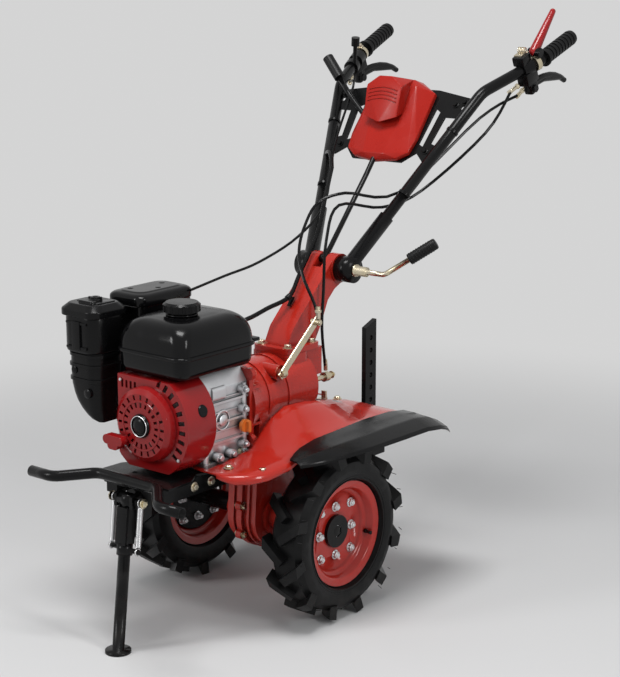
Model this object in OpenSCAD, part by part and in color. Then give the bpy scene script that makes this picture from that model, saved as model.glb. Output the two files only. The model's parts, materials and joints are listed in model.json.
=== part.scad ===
// Two-wheel walking power weeder with a lugged pair of wheels, an open engine and a tilting handlebar.
// All sizes are millimetres. Places are given from the wheel axle: X to the operator's left, Y back towards
// the operator, Z up from the floor as it stands on its usual tyres. body() moves all of it to the middle
// of the footprint, and lifts it with the axle when other tyres are fitted.

/* [Wheels] */
// Outside diameter over the lug tips
tyre_d = 370; // [320:1:420]
// Width of the tyre section
tyre_w = 92; // [80:1:110]
// Distance between the tyre mid-planes
track = 411; // [400:1:470]
// Height of the tyre from the rim flange to the lug tips
tyre_wall = 70; // [60:1:85]
// Width of the rim over its flanges
rim_w = 64; // [56:1:72]
// Lugs on each side of one tyre
lug_count = 12; // [10:1:14]
// Height of a lug above the tread
lug_h = 17; // [12:1:22]
// Width of the hexagon axle across its flats
axle_af = 24; // [20:1:28]

/* [Engine] */
// Height of the crankshaft
crank_z = 463; // [450:1:480]
// Front face of the pull starter
starter_y = -370; // [-385:1:-360]
// Radius of the fan shroud about the crankshaft
shroud_r = 112; // [104:1:120]
// Height of the fuel tank's seam
seam_z = 613; // [605:1:640]
// Slots in the ring on the pull starter
starter_slots = 20; // [12:1:24]

/* [Gearbox] */
// Half width of the upper gearbox
box_hw = 78; // [70:1:84]
// Height of the gearbox top
box_z = 540; // [525:1:560]
// Radius of the lower case about the axle
case_r = 77; // [70:1:90]
// Half width of the lower case
case_hw = 40; // [34:1:50]

/* [Handlebar] */
// Pivot of the handlebar, behind the axle
tilt_y = 234; // [220:1:250]
// Pivot of the handlebar, from the floor
tilt_z = 702; // [685:1:720]
// Radius of the pivot hub
hub_r = 33; // [28:1:38]
// Half width of the pivot hub
hub_hw = 36; // [33:1:44]
// Diameter of the bar tubes
bar_d = 26; // [22:1:30]
// Diameter of a hand grip
grip_d = 36; // [32:1:40]

/* [Stand] */
// Pivot of the front stand, behind the axle
stand_y = -412; // [-430:1:-400]
// Pivot of the front stand, from the floor
stand_z = 318; // [305:1:325]
// Diameter of the stand leg
leg_d = 25; // [20:1:30]

/* [Fits] */
// Radial clearance of a turning fit
run_fit = 0.05; // [0.02:0.01:0.1]
// Gap between parts that touch in the real machine
seat = 0.3; // [0.1:0.1:0.5]

/* [Hidden] */
$fn = 48;
axle_z = tyre_d / 2;
half_track = track / 2;
axle_r = axle_af / 2 / cos(30);
rise = axle_z - 185;
rim_d = tyre_d - 2 * tyre_wall;
crank = [0, 0, crank_z];
engine_back = -128;
shroud_back = -266;
tilt = [0, tilt_y, tilt_z];
base_z = crank_z - 106;
tank_z = seam_z - 53;
tank_top = seam_z + 62;
// Reach of the bumper ahead of the axle, and of the hand levers behind it
front_reach = 488.5;
rear_reach = 820.1;
frame_y = (rear_reach - front_reach) / 2;

function unit(v) = v / norm(v);
// Straight rod between two points
module rod(a, b, r) {
    d = b - a;
    translate(a) rotate([0, acos(d[2] / norm(d)), atan2(d[1], d[0])]) cylinder(h = norm(d), r = r);
}
// Points along a path whose inner corners are rounded to one bend radius
function corner_arc(p, q, s, br, n) = let (a = unit(q - p), b = unit(s - q), turn = acos(a * b),
                                           inward = unit(b - a * cos(turn)), cut = br * tan(turn / 2),
                                           mid = q - a * cut + inward * br)
    [for (k = [0 : n]) mid + br * (a * sin(turn * k / n) - inward * cos(turn * k / n))];
function bend_path(p, br, n = 6) = [p[0], for (i = [1 : len(p) - 2]) each corner_arc(p[i - 1], p[i], p[i + 1], br, n),
                                    p[len(p) - 1]];
// Catmull-Rom curve through points, n steps each
function curve_at(p, i, t) = let (a = p[max(i - 1, 0)], b = p[i], c = p[i + 1], d = p[min(i + 2, len(p) - 1)])
    0.5 * (2 * b + (c - a) * t + (2 * a - 5 * b + 4 * c - d) * t * t + (3 * b - a - 3 * c + d) * t * t * t);
function curve(p, n) = [for (i = [0 : len(p) - 2], k = [0 : n - 1]) curve_at(p, i, k / n), p[len(p) - 1]];
// Round section swept along a path; ring normals are taken against one slanted direction that no path runs along
sweep_ref = [0.35, 0.9, -0.25];
function ring(p, i, r, n) = let (t = unit(p[min(i + 1, len(p) - 1)] - p[max(i - 1, 0)]),
                                 u = unit(cross(t, sweep_ref)), v = cross(t, u))
    [for (k = [0 : n - 1]) p[i] + r * (u * cos(360 * k / n) + v * sin(360 * k / n))];
module sweep(p, r, n) {
    m = len(p);
    polyhedron([for (i = [0 : m - 1]) each ring(p, i, r, n)],
        concat([[for (k = [0 : n - 1]) k]], [[for (k = [n - 1 : -1 : 0]) (m - 1) * n + k]],
            [for (i = [0 : m - 2], k = [0 : n - 1])
                [i * n + k, (i + 1) * n + k, (i + 1) * n + (k + 1) % n, i * n + (k + 1) % n]]));
}
module cable(points, r) {
    sweep(curve(points, 5), r, 8);
}
module bent_rod(points, br, r, n = 20) {
    sweep(bend_path(points, br), r, n);
}
// Pressed sheet between two grids of points, the top one and the under one
function flat(rows) = [for (r = rows) each r];
module pressed_sheet(top, under) {
    n = len(top[0]);
    m = len(top);
    o = n * m;
    function at(i, k) = i * n + k;
    skin = [for (i = [0 : m - 2], k = [0 : n - 2]) each [[at(i, k), at(i + 1, k), at(i, k + 1)],
                                                         [at(i + 1, k), at(i + 1, k + 1), at(i, k + 1)]]];
    rim = concat([for (k = [0 : n - 2]) [at(0, k), at(0, k + 1)]],
                 [for (i = [0 : m - 2]) [at(i, n - 1), at(i + 1, n - 1)]],
                 [for (k = [n - 1 : -1 : 1]) [at(m - 1, k), at(m - 1, k - 1)]],
                 [for (i = [m - 1 : -1 : 1]) [at(i, 0), at(i - 1, 0)]]);
    polyhedron(concat(flat(top), flat(under)),
        concat(skin, [for (f = skin) [f[0] + o, f[2] + o, f[1] + o]],
               [for (e = rim) each [[e[0], e[1], e[0] + o], [e[1], e[1] + o, e[0] + o]]]));
}
// Square with round corners about its middle
module round_square(w, l, r) {
    square([w - 2 * r, l], center = true);
    square([w, l - 2 * r], center = true);
    for (x = [-1, 1], y = [-1, 1]) translate([x * (w / 2 - r), y * (l / 2 - r)]) circle(r = r);
}
// Box with round upright corners between two opposite corners
module round_box(a, b, r) {
    translate([(a[0] + b[0]) / 2, (a[1] + b[1]) / 2, a[2]]) linear_extrude(b[2] - a[2])
        round_square(b[0] - a[0], b[1] - a[1], r);
}
module block(a, b) {
    translate(a) cube(b - a);
}
// Profile drawn in Y and Z, from x0 to x1
module across(x0, x1) {
    translate([x0, 0, 0]) rotate([90, 0, 90]) linear_extrude(x1 - x0) children();
}
// Profile drawn in X and Z, from y0 back to y1
module along(y0, y1) {
    translate([0, y1, 0]) rotate([90, 0, 0]) linear_extrude(y1 - y0) children();
}
// Cylinders along X and Y
module x_cyl(p, x0, x1, r) {
    translate([x0, p[1], p[2]]) rotate([0, 90, 0]) cylinder(h = x1 - x0, r = r);
}
module y_cyl(p, y0, y1, r) {
    translate([p[0], y0, p[2]]) rotate([-90, 0, 0]) cylinder(h = y1 - y0, r = r);
}
module body() {
    translate([0, -frame_y, rise]) children();
}
// Frame of the left wheel: the axle is Z and the wheel's middle is the origin
module wheel_frame() {
    translate([half_track, -frame_y, axle_z]) rotate([0, 90, 0]) children();
}
module right_side() {
    mirror([1, 0, 0]) children();
}

// Wheels
journal_r = axle_r + 2;
journal_hl = 78;
module axle() color("silver") translate([0, -frame_y, axle_z]) rotate([0, 90, 0]) {
    cylinder(h = 2 * journal_hl, r = journal_r, center = true);
    cylinder(h = 2 * (half_track + 8), r = axle_r, center = true, $fn = 6);
}
// Hub: sleeve on the hexagon, flange behind the wheel web and boss through it
web_t = 4;
boss_r = 35.5;
flange_r = 83;
flange_t = 7;
// Wheel bolts: two rings a half step apart
bolt_rings = [[54, 0], [72.5, 45]];
module hub_left() color("#202020") difference() {
    wheel_frame() {
        translate([0, 0, journal_hl + 4 - half_track]) cylinder(h = half_track - journal_hl, r = 21);
        translate([0, 0, -web_t / 2 - flange_t]) cylinder(h = flange_t - seat / 3, r = flange_r);
        translate([0, 0, -web_t / 2 - flange_t]) cylinder(h = flange_t + web_t + 8, r = boss_r);
        for (ring = bolt_rings, i = [0 : 3]) rotate([0, 0, ring[1] + i * 90]) translate([ring[0], 0, -web_t / 2 - 1]) {
            cylinder(h = web_t + 5, r = 5);
            translate([0, 0, web_t + 1 + seat]) cylinder(h = 7, r = 8, $fn = 6);
        }
    }
    wheel_frame() translate([0, 0, -half_track]) cylinder(h = 2 * half_track, r = axle_r + run_fit, $fn = 6);
}
module hub_right() right_side() hub_left();
// Rim: bolted web, drop centre and rolled flanges
rim_t = 3.2;
bead_r = rim_d / 2 - 14;
well_r = bead_r - 12;
module rim_left() color("#c01818") wheel_frame() difference() {
    rotate_extrude($fn = 96) {
        half = rim_w / 2;
        polygon([[rim_d / 2, -half], [rim_d / 2, -half + rim_t], [bead_r, -half + 6], [bead_r, -half + 18],
                 [well_r, -half + 24], [well_r, half - 24], [bead_r, half - 18], [bead_r, half - 6],
                 [rim_d / 2, half - rim_t], [rim_d / 2, half], [bead_r - rim_t, half - 3.5],
                 [bead_r - rim_t, half - 19], [well_r - rim_t, half - 24], [well_r - rim_t, -half + 24],
                 [bead_r - rim_t, -half + 19], [bead_r - rim_t, -half + 3.5]]);
        translate([boss_r + seat, -web_t / 2]) square([well_r - 1 - boss_r, web_t]);
    }
    for (ring = bolt_rings, i = [0 : 3]) rotate([0, 0, ring[1] + i * 90]) translate([ring[0], 0, -web_t])
        cylinder(h = 2 * web_t, r = 5 + seat);
}
module rim_right() right_side() rim_left();
// Tyre: carcass with chevron lugs, the two rows half a step apart, one lug square on the floor
tread_r = tyre_d / 2 - lug_h;
lug_slant = 38;
lug_w = 19;
lug_phase = 7;
module tyre_left() color("#151515") wheel_frame() {
    hw = tyre_w / 2;
    bead_w = rim_w / 2 - 6.5;
    rotate_extrude($fn = 96) polygon([[bead_r + seat, -bead_w], [rim_d / 2 + 1.5, -bead_w - 1.5],
        [rim_d / 2 + 6, -hw + 6], [tread_r - 26, -hw + 1], [tread_r - 10, -hw + 5], [tread_r, -hw + 16],
        [tread_r, hw - 16], [tread_r - 10, hw - 5], [tread_r - 26, hw - 1], [rim_d / 2 + 6, hw - 6],
        [rim_d / 2 + 1.5, bead_w + 1.5], [bead_r + seat, bead_w]]);
    for (i = [0 : lug_count - 1], side = [-1, 1])
        rotate([0, 0, lug_phase + (i + (side > 0 ? 0.5 : 0)) * 360 / lug_count]) lug(side);
}
module lug(side) {
    intersection() {
        translate([tread_r - 16, 0, 0]) rotate([side * lug_slant, 0, 0])
            translate([0, -lug_w / 2, side > 0 ? -4 : -tyre_w + 4]) cube([lug_h + 20, lug_w, tyre_w]);
        cylinder(h = tyre_w, r = tyre_d / 2, center = true);
    }
}
module tyre_right() right_side() tyre_left();

// Lower case: two cast halves bolted on a flange, with long axle bosses
case_top = box_z - 2 * box_hw - 4;
module case_outline(r) {
    translate([0, 185]) circle(r = r);
    polygon([[-r, 185], [r, 185], [r - 14, case_top], [-r + 14, case_top]]);
}
case_bolts = [[-70, 150], [-70, 215], [-62, 280], [-60, 340], [70, 150], [70, 215], [62, 280], [60, 340], [0, 112]];
module lower_case() color("#c01818") body() difference() {
    union() {
        across(-case_hw, case_hw) case_outline(case_r - 9);
        across(-7, 7) case_outline(case_r);
        across(-7, 7) for (b = case_bolts) translate([b[0] * case_r / 77, b[1]]) circle(r = 11);
        for (x = [-22, 22]) across(x - 3, x + 3) case_outline(case_r - 4);
        x_cyl([0, 0, 185], -journal_hl + 2, journal_hl - 2, journal_r + 15);
        x_cyl([0, 0, 185], -case_hw - 8, case_hw + 8, journal_r + 28);
        round_box([-box_hw + 6, -84, case_top - 12], [box_hw - 6, 84, case_top - seat / 3], 12);
    }
    x_cyl([0, 0, 185], -2 * journal_hl, 2 * journal_hl, journal_r + run_fit);
}
// Upper gearbox: round barrel with a bell to the engine flange, a pad for the column and the clutch shaft boss
clutch_shaft = [0, -25, box_z - 22];
box_back = 112;
barrel_z = box_z - box_hw;
module barrel(y0, y1, r0, r1) {
    translate([0, y0, barrel_z]) rotate([-90, 0, 0]) cylinder(h = y1 - y0, r1 = r0, r2 = r1, $fn = 96);
}
flange_bolts = [[-76, -72], [76, -72], [-76, 72], [76, 72]];
module gearbox() color("#c01818") body() {
    barrel(-100, box_back - 8, box_hw, box_hw);
    barrel(box_back - 8, box_back, box_hw, box_hw - 8);
    barrel(engine_back + 10, -84, box_hw + 10, box_hw);
    for (y = [-58, 6]) barrel(y - 4, y + 4, box_hw + 2.5, box_hw + 2.5);
    along(-90, 96) polygon([[-box_hw + 8, case_top], [box_hw - 8, case_top], [box_hw - 0.1, barrel_z], [-box_hw + 0.1, barrel_z]]);
    along(engine_back, engine_back + 12) {
        translate([0, crank_z]) round_square(2 * box_hw + 4, 170, 26);
        for (b = flange_bolts) translate([b[0] * box_hw / 78, crank_z + b[1]]) circle(r = 13);
    }
    for (z = [-40, 0, 40]) along(engine_back + 6, -88) translate([0, crank_z + z]) square([2 * box_hw, 6], center = true);
    round_box([-54, 28, barrel_z], [54, box_back - 10, box_z], 16);
    x_cyl(clutch_shaft, box_hw - 48, box_hw - 2, 17);
    round_box([33, box_back - 14, box_z - 62], [47, 156, box_z], 5);
}
// Leaning column: curved casting on a bolted foot, with the pivot hub slotted for the gear lever
slot_hw = 11;
slot_reach = hub_r + 30;
module column() color("#c01818") body() difference() {
    union() {
        across(-33, 33) {
            polygon([[43, box_z], [139, box_z], [tilt_y - 66, box_z + 45], [tilt_y - 42, tilt_z - 66], [tilt_y - 18, tilt_z - 44],
                     [tilt_y + 13, tilt_z - 30], [tilt_y - 23, tilt_z + 24], [tilt_y - 112, tilt_z - 62],
                     [tilt_y - 164, box_z + 50]]);
        }
        across(-hub_hw, hub_hw) translate([tilt_y, tilt_z]) circle(r = hub_r);
        round_box([-52, 30, box_z + seat / 3], [52, 144, box_z + 13], 14);
    }
    across(-slot_hw, slot_hw) translate([tilt_y, tilt_z]) polygon([[0, 0], slot_reach * [cos(20), sin(20)],
        slot_reach * [cos(75), sin(75)], slot_reach * [cos(130), sin(130)], slot_reach * [cos(172), sin(172)]]);
}
// Clamp handle: nut on the pivot bolt, cranked arm and rubber grip
head_x = hub_hw + 40;
clamp_arm = [95, 55, 72];
clamp_bends = [tilt + [head_x + 12, 0, 0], tilt + [158, 0, 0], tilt + [158, 0, 0] + clamp_arm * 0.6];
module clamp_handle() color("#b09a50") body() {
    x_cyl(tilt, head_x + seat, head_x + 6, 14);
    x_cyl(tilt, head_x + 5, head_x + 34, 11);
    bent_rod(clamp_bends, 20, 6, 16);
    rod(clamp_bends[2] - clamp_arm * 0.1, clamp_bends[1] + clamp_arm, 12);
}
// Clutch arm: flat bar on the clutch shaft with a cable pin at its top
arm_x = box_hw - 2 + seat;
arm_top = [0, 86, box_z + 71];
module clutch_arm() color("silver") body() {
    arm_len = norm(arm_top - clutch_shaft);
    lean = atan2(arm_top[1] - clutch_shaft[1], arm_top[2] - clutch_shaft[2]);
    x_cyl(clutch_shaft, arm_x, arm_x + 14, 9);
    translate([arm_x + 4, clutch_shaft[1], clutch_shaft[2]]) rotate([-lean, 0, 0])
        round_box([0, -9, -12], [6, 9, arm_len + 12], 2.9);
    x_cyl(arm_top, arm_x - 2, arm_x + 20, 7);
}
// Reverse arm: shaft out of the back of the gearbox with a cable pin, and the cable stop below it
reverse_pin = [40, 186, box_z - 76];
module reverse_arm() color("silver") body() {
    y_cyl(reverse_pin, box_back + seat, 196, 6);
    y_cyl(reverse_pin, 168, 182, 11);
    block([33, box_back + seat, box_z - 130], [47, box_back + 6, box_z - 64]);
    block([34, box_back + seat, box_z - 128], [46, 175, box_z - 123]);
    block([34, 168, box_z - 128], [46, 173, box_z - 108]);
}

// Engine
// Crankcase: ribbed casting on a bolted base, with side cover, bosses and drain plug
module crankcase() color("#b8b8b8") body() {
    top_z = tank_z - 4;
    back = engine_back - seat;
    round_box([-80, shroud_back, base_z], [80, back, base_z + 12], 8);
    along(shroud_back, back) polygon([[-66, base_z + 6], [66, base_z + 6], [72, base_z + 40], [72, top_z - 34], [50, top_z],
                                      [-60, top_z], [-86, top_z - 36], [-86, base_z + 60]]);
    for (z = [base_z + 50, base_z + 92, base_z + 134]) block([50, shroud_back, z - 2.5], [76, back, z + 2.5]);
    for (y = [shroud_back + 10, back - 10]) translate([69, y, base_z + 8]) cylinder(h = top_z - base_z - 44, r = 8);
    for (z = [base_z + 34, base_z + 110, base_z + 152]) x_cyl([0, back - 22, z], 50, 88, 9);
    for (y = [shroud_back + 40, shroud_back + 80]) x_cyl([0, y, base_z + 20], 50, 84, 10);
    along(shroud_back + 30, shroud_back + 70) translate([50, top_z - 46]) round_square(50, 34, 10);
}
// Cylinder and head on the right-hand side, with cooling fins
module cylinder_head() color("#a8a8a8") body() {
    for (i = [0 : 5]) block([-176 + i * 15, -240, 428], [-168 + i * 15, engine_back - 10, tank_z - 10]);
    block([-182, -226, 438], [-86 - seat, engine_back - 24, tank_z - 18]);
}
// Fan shroud: round on the left, square to the cylinder on the right, with cooling slots in its face
shroud_y = starter_y + 20;
shroud_left = -84;
module shroud_outline(inset) {
    low = base_z + 9 + inset;
    high = tank_z - 4 - inset;
    intersection() {
        translate([0, crank_z]) circle(r = shroud_r - inset, $fn = 96);
        translate([shroud_left + inset, low]) square([shroud_r - shroud_left, high - low]);
    }
    translate([shroud_left + inset, crank_z - 30]) square([70, high - crank_z + 30]);
}
module fan_shroud() color("#c01818") body() difference() {
    along(shroud_y, shroud_back - seat) shroud_outline(0);
    along(shroud_y + 3, shroud_back + 10) shroud_outline(3);
    y_cyl(crank, shroud_y - 10, shroud_y + 10, 64);
    translate([0, shroud_y, crank_z]) rotate([90, 0, 0]) for (i = [0 : 9]) rotate([0, 0, -38 + i * 12])
        translate([86, -4.5, -10]) cube([18, 9, 20]);
    for (x = [-74, -62, -50, -38]) block([x, shroud_y - 10, crank_z + 66], [x + 6, shroud_y + 10, crank_z + 82]);
}
// Pull starter: dished cover with a ring of radial slots
module pull_starter() color("#c01818") body() translate([0, starter_y, crank_z]) rotate([-90, 0, 0]) difference() {
    depth = shroud_y - starter_y - seat;
    rotate_extrude($fn = 96) polygon([[0, 0], [66, 0], [76, 7], [79, depth], [76, depth], [73, 9], [65, 3.5], [0, 3.5]]);
    for (i = [0 : starter_slots - 1]) rotate([0, 0, i * 360 / starter_slots])
        translate([38, -2.6, -5]) cube([26, 5.2, 20]);
}
module starter_disc() color("#404040") body() translate([0, starter_y - seat, crank_z]) rotate([90, 0, 0]) difference() {
    cylinder(h = 6, r1 = 31, r2 = 28);
    translate([0, 0, 3]) cylinder(h = 6, r = 22);
}
// Pull grip: waisted handle parked against the cover
module starter_grip() color("#b01818") body() {
    along(starter_y - 20, starter_y - seat) translate([-64, crank_z - 38]) {
        round_square(56, 20, 9.9);
        translate([0, -8]) round_square(30, 24, 9);
    }
}
// Fuel tank: two pressed halves with a seam flange, domed top and mounting feet
tank_lo = [-100, -348];
tank_hi = [96, -111];
module tank_slab(inset, z0, z1, r) {
    round_box([tank_lo[0] + inset, tank_lo[1] + inset, z0], [tank_hi[0] - inset, tank_hi[1] - inset, z1], r);
}
module fuel_tank() color("#181818") body() {
    hull() {
        tank_slab(12, tank_z, tank_z + 6, 24, $fn = 32);
        tank_slab(5, tank_z + 12, seam_z - 3, 26, $fn = 32);
    }
    tank_slab(0, seam_z - 3, seam_z + 3, 28);
    hull() {
        tank_slab(4, seam_z + 3, seam_z + 24, 26, $fn = 32);
        tank_slab(10, seam_z + 24, seam_z + 42, 30, $fn = 32);
        tank_slab(20, seam_z + 42, seam_z + 54, 34, $fn = 32);
        tank_slab(36, seam_z + 54, tank_top, 34, $fn = 32);
    }
    for (x = [-50, 34]) round_box([x - 12, -220, tank_z - 4 + seat], [x + 12, -150, tank_z + 1], 5);
    round_box([56, -118, seam_z - 4], [84, -98, seam_z + 4], 8);
}
module tank_cap() color("#101010") body() translate([8, -253, tank_top + seat]) {
    cylinder(h = 10, r = 29);
    translate([0, 0, 8]) difference() {
        union() {
            cylinder(h = 14, r = 39);
            translate([0, 0, 14]) cylinder(h = 5, r1 = 39, r2 = 33);
        }
        for (i = [0 : 17]) rotate([0, 0, i * 20]) translate([41, 0, -1]) cylinder(h = 40, r = 4, $fn = 24);
    }
}
// Air cleaner: oil-bath bowl under an upright canister, on an elbow from the carburettor
air_x = [-232, -120];
air_y = [-378, -272];
lid_z = 664;
module air_cleaner() color("#151515") body() {
    round_box([air_x[0] + 6, air_y[0] + 4, 588], [air_x[1] - 4, air_y[1] - 4, lid_z], 30);
    hull() {
        round_box([air_x[0] + 18, air_y[0] + 8, 520], [air_x[1] - 6, air_y[1] - 8, 592], 30, $fn = 32);
        round_box([air_x[0] + 50, air_y[0] + 16, 446], [air_x[1] - 4, air_y[1] - 14, 456], 24, $fn = 32);
    }
    for (z = [500, 540]) round_box([air_x[0] + 15, air_y[0] + 10, z], [air_x[1] - 6, air_y[1] - 10, z + 5], 26);
    y_cyl([-148, 0, 540], air_y[1] - 20, -256 - seat, 22);
}
module air_cleaner_lid() color("#151515") body() {
    hull() {
        round_box([air_x[0], air_y[0], lid_z + seat], [air_x[1], air_y[1], lid_z + 14], 26, $fn = 32);
        round_box([air_x[0] + 12, air_y[0] + 12, lid_z + 14], [air_x[1] - 12, air_y[1] - 12, lid_z + 26], 24, $fn = 32);
    }
    translate([-173, -322, lid_z + 20]) cylinder(h = 16, r = 11);
    round_box([-196, -352, lid_z + 20], [-150, -336, lid_z + 31], 7);
}
// Muffler under a louvred guard
guard_z = 700;
module muffler() color("#1a1a1a") body() {
    difference() {
        union() {
            round_box([-206, -254, 578], [-106, -96, guard_z - 12], 18);
            hull() {
                round_box([-210, -258, guard_z - 14], [-104, -92, guard_z - 8], 22, $fn = 32);
                round_box([-202, -250, guard_z - 8], [-112, -100, guard_z], 18, $fn = 32);
            }
        }
        for (i = [0 : 4]) block([-192, -232 + i * 26, guard_z - 4], [-120, -222 + i * 26, guard_z + 10]);
        for (i = [0 : 5]) block([-220, -236 + i * 24, 610], [-200, -226 + i * 24, 670]);
    }
    translate([-150, -175, tank_z - 10 + seat]) cylinder(h = 40, r = 15);
}
module carburettor() color("#909090") body() {
    round_box([-172, -256, 505], [-122, -240 - seat, 566], 6);
}
module dipstick() color("#e07020") body() {
    x_cyl([0, engine_back - 22, base_z + 74], 77 + seat, 84, 9);
    x_cyl([0, engine_back - 22, base_z + 74], 83, 90, 14);
    translate([88, engine_back - 22, base_z + 74]) rotate([0, 90, 0]) round_box([-13, -4, 0], [13, 4, 12], 3.9);
}

// Front frame: two box rails, a deck plate for the engine and the stand bracket
rail_x = 64;
rail_w = 30;
deck_t = 5;
deck_holes = [30, -360];
module front_frame() color("#181818") body() difference() {
    union() {
        for (x = [-rail_x, rail_x]) block([x - rail_w / 2, -394, base_z - 42], [x + rail_w / 2, -92, base_z - deck_t]);
        translate([0, 0, base_z - deck_t]) linear_extrude(deck_t - seat / 3)
            polygon([[-104, -400], [104, -400], [100, -330], [76, -290], [92, -240], [92, -108],
                     [-92, -108], [-92, -240], [-76, -290], [-100, -330], [-104, -400]]);
        block([-80, -400, base_z - 20], [80, -394, base_z - deck_t]);
        block([-78, -96, base_z - 42], [78, -90, base_z - deck_t]);
        for (x = [-1, 1]) translate([x * 22 - 4, 0, 0]) across(0, 8)
            polygon([[-398, base_z - 20], [-398, stand_z - 16], [stand_y - 14, stand_z - 14], [stand_y - 14, stand_z + 12], [-404, base_z - 20]]);
    }
    for (x = [-1, 1]) translate([x * deck_holes[0], deck_holes[1], base_z - 20]) cylinder(h = 40, r = 5.5);
    for (x = [-1, 1]) block([x * rail_x - rail_w / 2 + 3, -380, base_z - 39], [x * rail_x + rail_w / 2 - 3, -110, base_z - deck_t - 3]);
    x_cyl([0, stand_y, stand_z], -60, 60, 6 + run_fit);
}
// Bumper: swept tube with open ends, on a plate welded to the deck
bumper_r = 11.5;
bumper_z = base_z + 1;
bumper_bends = [[-214, -477, bumper_z - 6], [-150, -477, bumper_z - 6], [-84, -411.8, bumper_z],
                [84, -411.8, bumper_z], [150, -477, bumper_z - 6], [214, -477, bumper_z - 6]];
module bumper() color("#151515") body() difference() {
    bent_rod(bumper_bends, 40, bumper_r);
    for (s = [-1, 1]) x_cyl([0, -477, bumper_z - 6], s > 0 ? 170 : -224, s > 0 ? 224 : -170, bumper_r - 2.5);
}
// Fender rows: distance behind the axle, inner edge, outer edge, share of the rise over the wheel,
// swell up to the gearbox at the inner edge, drop of the rim
fender_t = 3;
nose_z = base_z + 7;
crest_z = 397 + rise;
fender_rows = [[-281, 74, 126, 0, 0, 6], [-279, 60, 140, 0, 0, 10], [-275, 48, 152, 0, 0, 13], [-271, 40, 160, 0, 0, 15],
               [-269, 36, 164, 0, 0, 16], [-267, 84, 166, 0, 0, 16], [-244, 84, 187, 0.03, 0, 18], [-210, 84, 203, 0.1, 0, 18],
               [-150, 84, 211, 0.34, 0, 16], [-140, 92, 211, 0.4, 4, 15], [-118, 92, 210, 0.55, 16, 13], [-97, 91, 208, 0.68, 28, 12],
               [-70, 88, 207, 0.82, 39, 10], [-24, 86, 206, 0.94, 52, 8], [40, 86, 205, 1, 47, 8], [77, 86, 205, 1, 40, 8],
               [124, 86, 205, 1, 32, 8], [128, 50, 205, 1, 27, 8], [195, 50, 205, 0.96, 13, 8], [230, 50, 205, 0.9, 8, 8],
               [280, 54, 202, 0.6, 2, 8], [292, 66, 190, 0.48, 0, 8]];
// Share of the width, of the rim's drop and of the swell across one row
fender_cols = [[0, 0, 1], [0.06, 0, 1], [0.2, 0, 0.84], [0.36, 0, 0.56], [0.55, 0, 0.28], [0.75, 0, 0.08], [0.93, 0.12, 0], [0.985, 0.45, 0], [1, 1, 0]];
function fender_z(r) = nose_z + (crest_z - nose_z) * r[3];
function fender_point(r, c) = [r[1] + (r[2] - r[1]) * c[0], r[0], fender_z(r) + r[4] * c[2] - r[5] * c[1]];
function fender_under(r, c) = fender_point(r, c) + [c[0] > 0.98 ? -fender_t : 0, 0, -fender_t];
module fender_left() color("#c01818") body() pressed_sheet(
    [for (r = fender_rows) [for (c = fender_cols) fender_point(r, c)]],
    [for (r = fender_rows) [for (c = fender_cols) fender_under(r, c)]]);
module fender_right() right_side() fender_left();
// Flap rows: distance behind the axle, inner edge, outer edge, drop of the inner and outer edges below the crest
flap_t = 4;
flap_top = crest_z + 6.7;
flap_rows = [[-150, 208, 236, 23, 33], [-125, 199, 254, 17, 30], [-100, 194, 266, 12, 28], [-50, 192, 285, 5, 23], [20, 191, 297, 2, 21],
             [120, 191, 300, 0, 21], [210, 191, 300, 2, 22], [262, 193, 298, 9, 29], [300, 196, 290, 25, 41], [328, 202, 276, 47, 57]];
flap_cols = [[0, 0], [0.3, 0], [0.36, 0.12], [0.6, 0.14], [0.68, 0.2], [0.84, 0.55], [0.97, 0.85], [1, 1.1]];
function flap_point(r, c) = [r[1] + (r[2] - r[1]) * c[0], r[0], flap_top - r[3] - (r[4] - r[3]) * c[1]];
module flap_left() color("#151515") body() pressed_sheet(
    [for (r = flap_rows) [for (c = flap_cols) flap_point(r, c)]],
    [for (r = flap_rows) [for (c = flap_cols) flap_point(r, c) - [0, 0, flap_t]]]);
module flap_right() right_side() flap_left();
// Rear hitch: forked arm from the lower case with an upright pin bore and a socket for the depth stake
stake_y = 388;
stake_hw = 6;
hitch_z = 270;
hitch_front = case_r * 62 / 77 + 11 + seat;
hitch_pin = [0, stake_y - 62, 8.5];
module hitch() color("#181818") body() difference() {
    union() {
        across(-26, 26) polygon([[hitch_front, hitch_z - 24], [hitch_front, hitch_z + 26], [case_r + 90, hitch_z + 20],
                                 [stake_y - 40, hitch_z + 20], [stake_y - 40, hitch_z - 20], [case_r + 90, hitch_z - 20]]);
        round_box([-32, stake_y - 42, hitch_z - 40], [32, stake_y + 28, hitch_z + 40], 8);
    }
    block([-40, case_r + 110, hitch_z - 10], [40, stake_y - 42, hitch_z + 10]);
    translate([hitch_pin[0], hitch_pin[1], hitch_z - 60]) cylinder(h = 120, r = hitch_pin[2]);
    block([-stake_hw - 0.5, stake_y - 20.5, hitch_z - 60], [stake_hw + 0.5, stake_y + 20.5, hitch_z + 60]);
    x_cyl([0, stake_y, hitch_z], -60, 60, 6 + run_fit);
}
stake_top = 552;
module depth_stake() color("#151515") body() difference() {
    across(-stake_hw, stake_hw) polygon([[stake_y - 20, hitch_z - 100], [stake_y, hitch_z - 120], [stake_y + 20, hitch_z - 100],
                                         [stake_y + 20, stake_top], [stake_y - 20, stake_top - 16]]);
    for (z = [hitch_z - 60 : 30 : stake_top - 40]) x_cyl([0, stake_y, z], -20, 20, 6 + run_fit);
}
module stake_pin() color("silver") body() {
    x_cyl([0, stake_y, hitch_z], -42, 42, 6);
    x_cyl([0, stake_y, hitch_z], 42, 46, 10);
}

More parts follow.
